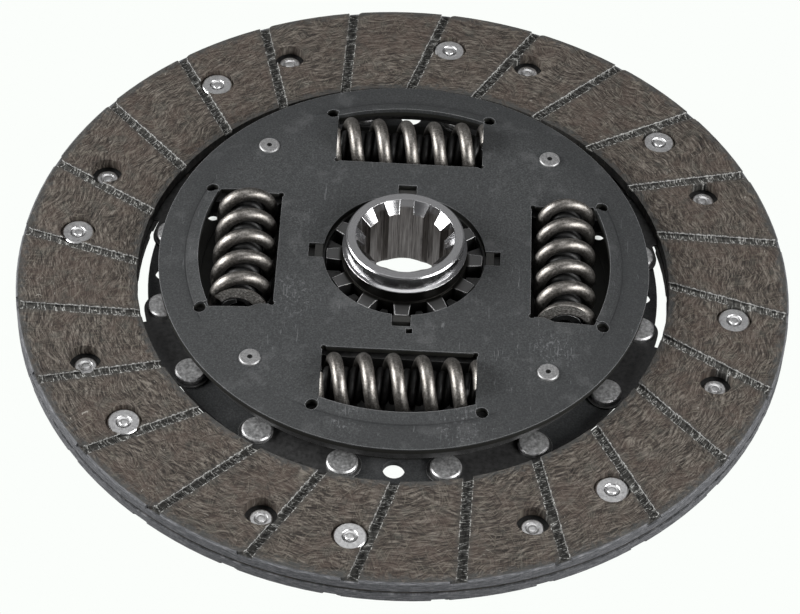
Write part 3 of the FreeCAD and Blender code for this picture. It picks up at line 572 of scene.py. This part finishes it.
def black_plastic():
    net = Net("black_plastic")
    place = net.place()
    grain = net.noise(place, 1.8, 3.0, 0.6)
    colour = net.ramp(grain, (0.3, (0.011, 0.011, 0.010, 1.0)), (0.7, (0.028, 0.028, 0.026, 1.0)))
    rough = net.span(grain, 0.3, 0.7, 0.38, 0.55)
    normal = net.bump(grain, 0.04, net.soft_edge(0.25), 0.5)
    return net.finish(Base_Color=colour, Roughness=rough, Normal=normal)


def make_materials():
    """Makes the finishes by slot name and puts them on the CAD model's nodes."""
    made = {
        "friction_lining": friction_lining(),
        "phosphated_steel": phosphated_steel(),
        "machined_steel": machined_steel(),
        "spring_steel": spring_steel(),
        "black_plastic": black_plastic(),
        "rivet_metal": plain_steel("rivet_metal", 0.66, 0.97, 0.27, 1.0, 1.5),
        "zinc_rivet": plain_steel("zinc_rivet", 0.26, 0.82, 0.38, 0.85, 1.1),
        "pin_steel": pin_steel(),
        "bare_dark_steel": plain_steel("bare_dark_steel", 0.050, 0.110, 0.42, 0.6, 0.8),
        "black_spring_steel": plain_steel("black_spring_steel", 0.008, 0.030, 0.40, 0.6, 0.8),
        "segment_steel": plain_steel("segment_steel", 0.040, 0.085, 0.38, 0.6, 0.7),
    }
    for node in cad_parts.values():
        for place in node.material_slots:
            place.material = made[place.material.name]
    return made


# Pieces

def join_rings(bm, rings):
    """Faces between each closed ring of points and the next."""
    for ring, after in zip(rings, rings[1:]):
        for k in range(len(ring)):
            n = (k + 1) % len(ring)
            bm.faces.new((ring[k], ring[n], after[n], after[k]))


def add_piece(name, bm, material, smooth_below=None):
    """An object of the mesh, smooth where its faces meet below that angle in degrees."""
    mesh = bpy.data.meshes.new(name)
    bm.to_mesh(mesh)
    bm.free()
    if smooth_below is not None:
        mesh.shade_smooth()
        mesh.set_sharp_from_angle(angle=math.radians(smooth_below))
    mesh.materials.append(material)
    piece = bpy.data.objects.new(name, mesh)
    bpy.context.scene.collection.objects.link(piece)
    return piece


# Springs

def coil_points(length, outer_r, wire_r, pitch, phase, hand, steps):
    """The middle of the wire, along Y, closed over a part of a turn at each end."""
    mean_r = outer_r - wire_r
    start = length / 2 + SPRING_END_CUT * wire_r
    closed = 2 * wire_r * SPRING_END_TURN
    turns = 2 * SPRING_END_TURN + 2 * (start - closed) / pitch
    count = int(turns * steps)
    points = []
    for i in range(count + 1):
        t = turns * i / count
        if t < SPRING_END_TURN:
            along = -start + 2 * wire_r * t
        elif t < turns - SPRING_END_TURN:
            along = -start + closed + pitch * (t - SPRING_END_TURN)
        else:
            along = start - 2 * wire_r * (turns - t)
        a = hand * 2 * math.pi * (t - phase)
        points.append(Vector((mean_r * math.sin(a), along, mean_r * math.cos(a))))
    return points


def wire_mesh(points, wire_r, sides):
    """A round wire along the points, closed at both ends."""
    bm = bmesh.new()
    rings = []
    for i, point in enumerate(points):
        run = (points[min(i + 1, len(points) - 1)] - points[max(i - 1, 0)]).normalized()
        out = Vector((point.x, 0, point.z)).normalized()
        out = (out - run * out.dot(run)).normalized()
        across = run.cross(out)
        ring = []
        for k in range(sides):
            a = 2 * math.pi * k / sides
            ring.append(bm.verts.new(point + (out * math.cos(a) + across * math.sin(a)) * wire_r))
        rings.append(ring)
    join_rings(bm, rings)
    bm.faces.new(rings[0])
    bm.faces.new(rings[-1])
    bmesh.ops.recalc_face_normals(bm, faces=bm.faces)
    return bm


def grind_ends(bm, length):
    """Cuts both ends flat."""
    for side in (-1, 1):
        geometry = bm.verts[:] + bm.edges[:] + bm.faces[:]
        cut = bmesh.ops.bisect_plane(
            bm, geom=geometry, plane_co=(0, side * length / 2, 0), plane_no=(0, side, 0), clear_outer=True,
        )
        edges = [e for e in cut["geom_cut"] if isinstance(e, bmesh.types.BMEdge)]
        bmesh.ops.triangle_fill(bm, edges=edges, use_beauty=True)
    bmesh.ops.recalc_face_normals(bm, faces=bm.faces)


def draw_in(bm, length):
    """Draws the inner side in towards both ends, so that the turned spring clears its window."""
    for vert in bm.verts:
        share = abs(vert.co.y) / (length / 2)
        vert.co.x += SPRING_END_ROOM * share * (SPRING_OUTER_R - vert.co.x) / (2 * SPRING_OUTER_R)


def make_coil(name, node, number, points, wire_r, sides, material):
    """One coil of wire in its window, in place of the CAD model's."""
    length = SPRING_LENGTHS[number]
    bm = wire_mesh(points, wire_r, sides)
    grind_ends(bm, length)
    draw_in(bm, length)
    turn = Matrix.Rotation(math.radians(90 * (number - 1)), 4, "Z")
    bm.transform(Matrix.Scale(MM, 4) @ turn @ Matrix.Translation((SPRING_CIRCLE_R, 0, SPRING_Z)))
    piece = add_piece(name, bm, material, 50)
    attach(piece, "spring_set")
    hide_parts(node)
    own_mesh(piece)


def make_spring(number, materials):
    """The damper spring and the thinner one inside it, wound the other way."""
    length = SPRING_LENGTHS[number]
    phase = SPRING_PHASES[number]
    outer = coil_points(length, SPRING_OUTER_R, SPRING_WIRE_R, SPRING_PITCH, phase, 1, SPRING_STEPS)
    inner = coil_points(length, INNER_OUTER_R, INNER_WIRE_R, INNER_PITCH, phase, -1, INNER_STEPS)
    make_coil(
        "damper_coil_%d" % number, "damper_spring_%d" % number, number, outer, SPRING_WIRE_R, SPRING_SIDES,
        materials["spring_steel"],
    )
    make_coil(
        "inner_coil_%d" % number, "inner_spring_%d" % number, number, inner, INNER_WIRE_R, INNER_SIDES,
        materials["black_spring_steel"],
    )


# Window lips

def window_lips(material):
    """The driven plate's bent lips, which close its windows below the springs' outer sides; the painted
    shade below the retainer plate makes them nearly black, so the view through the windows stays dark.
    """
    bm = bmesh.new()
    for i in range(4):
        turn = Matrix.Rotation(math.radians(90 * i), 4, "Z")
        rows = []
        for r, z in LIP_PROFILE:
            row = []
            for k in range(LIP_COLUMNS + 1):
                y = LIP_HALF_LENGTH * (2 * k / LIP_COLUMNS - 1)
                x = r if r < LIP_ROOT_R - 1 else math.sqrt(r * r - y * y)
                row.append(bm.verts.new(turn @ Vector((x, y, z))))
            rows.append(row)
        for row, after in zip(rows, rows[1:] + rows[:1]):
            for k in range(LIP_COLUMNS):
                bm.faces.new((row[k], row[k + 1], after[k + 1], after[k]))
        bm.faces.new([row[0] for row in rows])
        bm.faces.new([row[-1] for row in rows])
    bmesh.ops.recalc_face_normals(bm, faces=bm.faces)
    bm.transform(Matrix.Scale(MM, 4))
    piece = add_piece("driven_window_lips", bm, material)
    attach(piece, "disc")


# Rivet ends

def dimple_ring(bm, centre, base, up):
    """The stepped bottom of a rivet's hollow, facing up or down."""
    rings = []
    for r, drop in DIMPLE_PROFILE:
        ring = []
        for k in range(DIMPLE_SIDES):
            a = 2 * math.pi * k / DIMPLE_SIDES
            x = centre.x + r * math.cos(a)
            y = centre.y + r * math.sin(a)
            ring.append(bm.verts.new((x, y, up * (base + drop))))
        rings.append(ring)
    join_rings(bm, rings)
    bm.faces.new(rings[-1])


def rivet_centres(name, up, material):
    """Closes the hollows of the heads and rolled ends that are seen from one side."""
    bm = bmesh.new()
    for i in range(RIVET_COUNT):
        for start, base in ((RIVET_HEAD_TURN, RIVET_HEAD_TOP), (RIVET_TAIL_TURN, RIVET_TAIL_TOP)):
            a = math.radians(start + 360 / RIVET_COUNT * i)
            if up < 0:
                a = math.radians(2 * FLIP_AXIS) - a
            dimple_ring(bm, Vector((math.cos(a), math.sin(a), 0)) * RIVET_CIRCLE_R, base, up)
    bmesh.ops.recalc_face_normals(bm, faces=bm.faces)
    if sum(face.normal.z for face in bm.faces) * up < 0:
        bmesh.ops.reverse_faces(bm, faces=bm.faces)
    bm.transform(Matrix.Scale(MM, 4))
    piece = add_piece(name, bm, material, 40)
    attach(piece, "disc")


# Light, floor and camera

def softbox(name, direction, distance, width, height, power):
    """A rectangular light that faces the object from the given direction."""
    light = bpy.data.lights.new(name, "AREA")
    light.shape = "RECTANGLE"
    light.size = width
    light.size_y = height
    light.energy = power
    lamp = bpy.data.objects.new(name, light)
    towards = Vector(direction).normalized()
    lamp.location = towards * distance
    lamp.rotation_mode = "QUATERNION"
    lamp.rotation_quaternion = (-towards).to_track_quat("-Z", "Y")
    bpy.context.scene.collection.objects.link(lamp)


def make_lights():
    softbox("left", (-0.86, -0.05, 0.48), 0.9, 0.80, 0.34, 11.5)
    softbox("right", (0.75, -0.40, 0.48), 0.9, 0.75, 0.34, 9.0)
    softbox("top", (0.05, 0.15, 1.0), 0.9, 0.6, 0.6, 1.4)
    softbox("back_top", (0.0, 0.70, 0.72), 0.95, 0.44, 0.44, 0.15)


def make_world():
    """Dim light all round, and the pale backdrop to the camera."""
    world = bpy.data.worlds.new("studio")
    bpy.context.scene.world = world
    world.use_nodes = True
    tree = world.node_tree
    path = tree.nodes.new("ShaderNodeLightPath")
    seen = tree.nodes.new("ShaderNodeMix")
    seen.data_type = "RGBA"
    seen.inputs[6].default_value = (0.085, 0.085, 0.088, 1.0)
    seen.inputs[7].default_value = BACKDROP
    tree.links.new(path.outputs["Is Camera Ray"], seen.inputs[0])
    tree.links.new(seen.outputs[2], tree.nodes["Background"].inputs["Color"])


def floor_material():
    """Pale, and evenly bright to the camera but for the shadow under the plates; outside that shadow it
    also glows dim grey to reflections, as painted light.
    """
    net = Net("floor")
    path = net.node("LightPath", {}).outputs
    seen = net.mix(path["Is Camera Ray"], grey(0.30), BACKDROP)
    glow = net.node("Emission", {"Color": seen}).outputs[0]
    reach = net.vector("LENGTH", net.node("TexCoord", {}).outputs["Object"])
    stops = (
        (0.0, 1.0), (SHADOW_INNER_R - SHADOW_FADE, 1.0), (SHADOW_INNER_R, 0.0), (SHADOW_OUTER_R, 0.0),
        (SHADOW_OUTER_R + SHADOW_FADE, 1.0),
    )
    outside = net.ramp(reach, *[(r * MM, grey(value)) for r, value in stops])
    # Painted light: outside the shadow ring the floor glows dim grey in reflections
    glowing = net.times(net.larger(path["Is Camera Ray"], path["Is Glossy Ray"]), outside)
    surface = net.node("MixShader", {0: glowing, 1: net.shader.outputs[0], 2: glow}).outputs[0]
    net.put(net.tree.nodes["Material Output"].inputs["Surface"], surface)
    return net.finish(Base_Color=grey(0.25), Roughness=0.9)


def make_floor():
    mesh = bpy.data.meshes.new("floor")
    half = FLOOR_HALF * MM
    corners = [(-half, -half, 0), (half, -half, 0), (half, half, 0), (-half, half, 0)]
    mesh.from_pydata(corners, [], [(0, 1, 2, 3)])
    mesh.materials.append(floor_material())
    floor = bpy.data.objects.new("floor", mesh)
    floor.location.z = FLOOR_Z * MM
    bpy.context.scene.collection.objects.link(floor)


def make_camera():
    data = bpy.data.cameras.new("camera")
    data.sensor_fit = "HORIZONTAL"
    data.sensor_width = CAMERA_SENSOR
    data.lens = CAMERA_LENS
    data.clip_start = 0.01
    data.clip_end = 20.0
    back = Vector((0, -math.cos(CAMERA_ELEVATION), math.sin(CAMERA_ELEVATION)))
    right = Vector((1, 0, 0))
    up = back.cross(right)
    right_rolled = right * math.cos(CAMERA_ROLL) + up * math.sin(CAMERA_ROLL)
    up_rolled = up * math.cos(CAMERA_ROLL) - right * math.sin(CAMERA_ROLL)
    turn = Matrix((right_rolled, up_rolled, back)).transposed().to_4x4()
    camera = bpy.data.objects.new("camera", data)
    camera.matrix_world = Matrix.Translation(CAMERA_AIM + back * CAMERA_DISTANCE) @ turn
    bpy.context.scene.collection.objects.link(camera)
    bpy.context.scene.camera = camera


bpy.context.scene.view_settings.view_transform = "Standard"
materials = make_materials()
for number in SPRING_PHASES:
    make_spring(number, materials)
window_lips(materials["phosphated_steel"])
rivet_centres("rivet_centres_gearbox_side", 1, materials["rivet_metal"])
rivet_centres("rivet_centres_flywheel_side", -1, materials["rivet_metal"])
make_lights()
make_world()
make_floor()
make_camera()
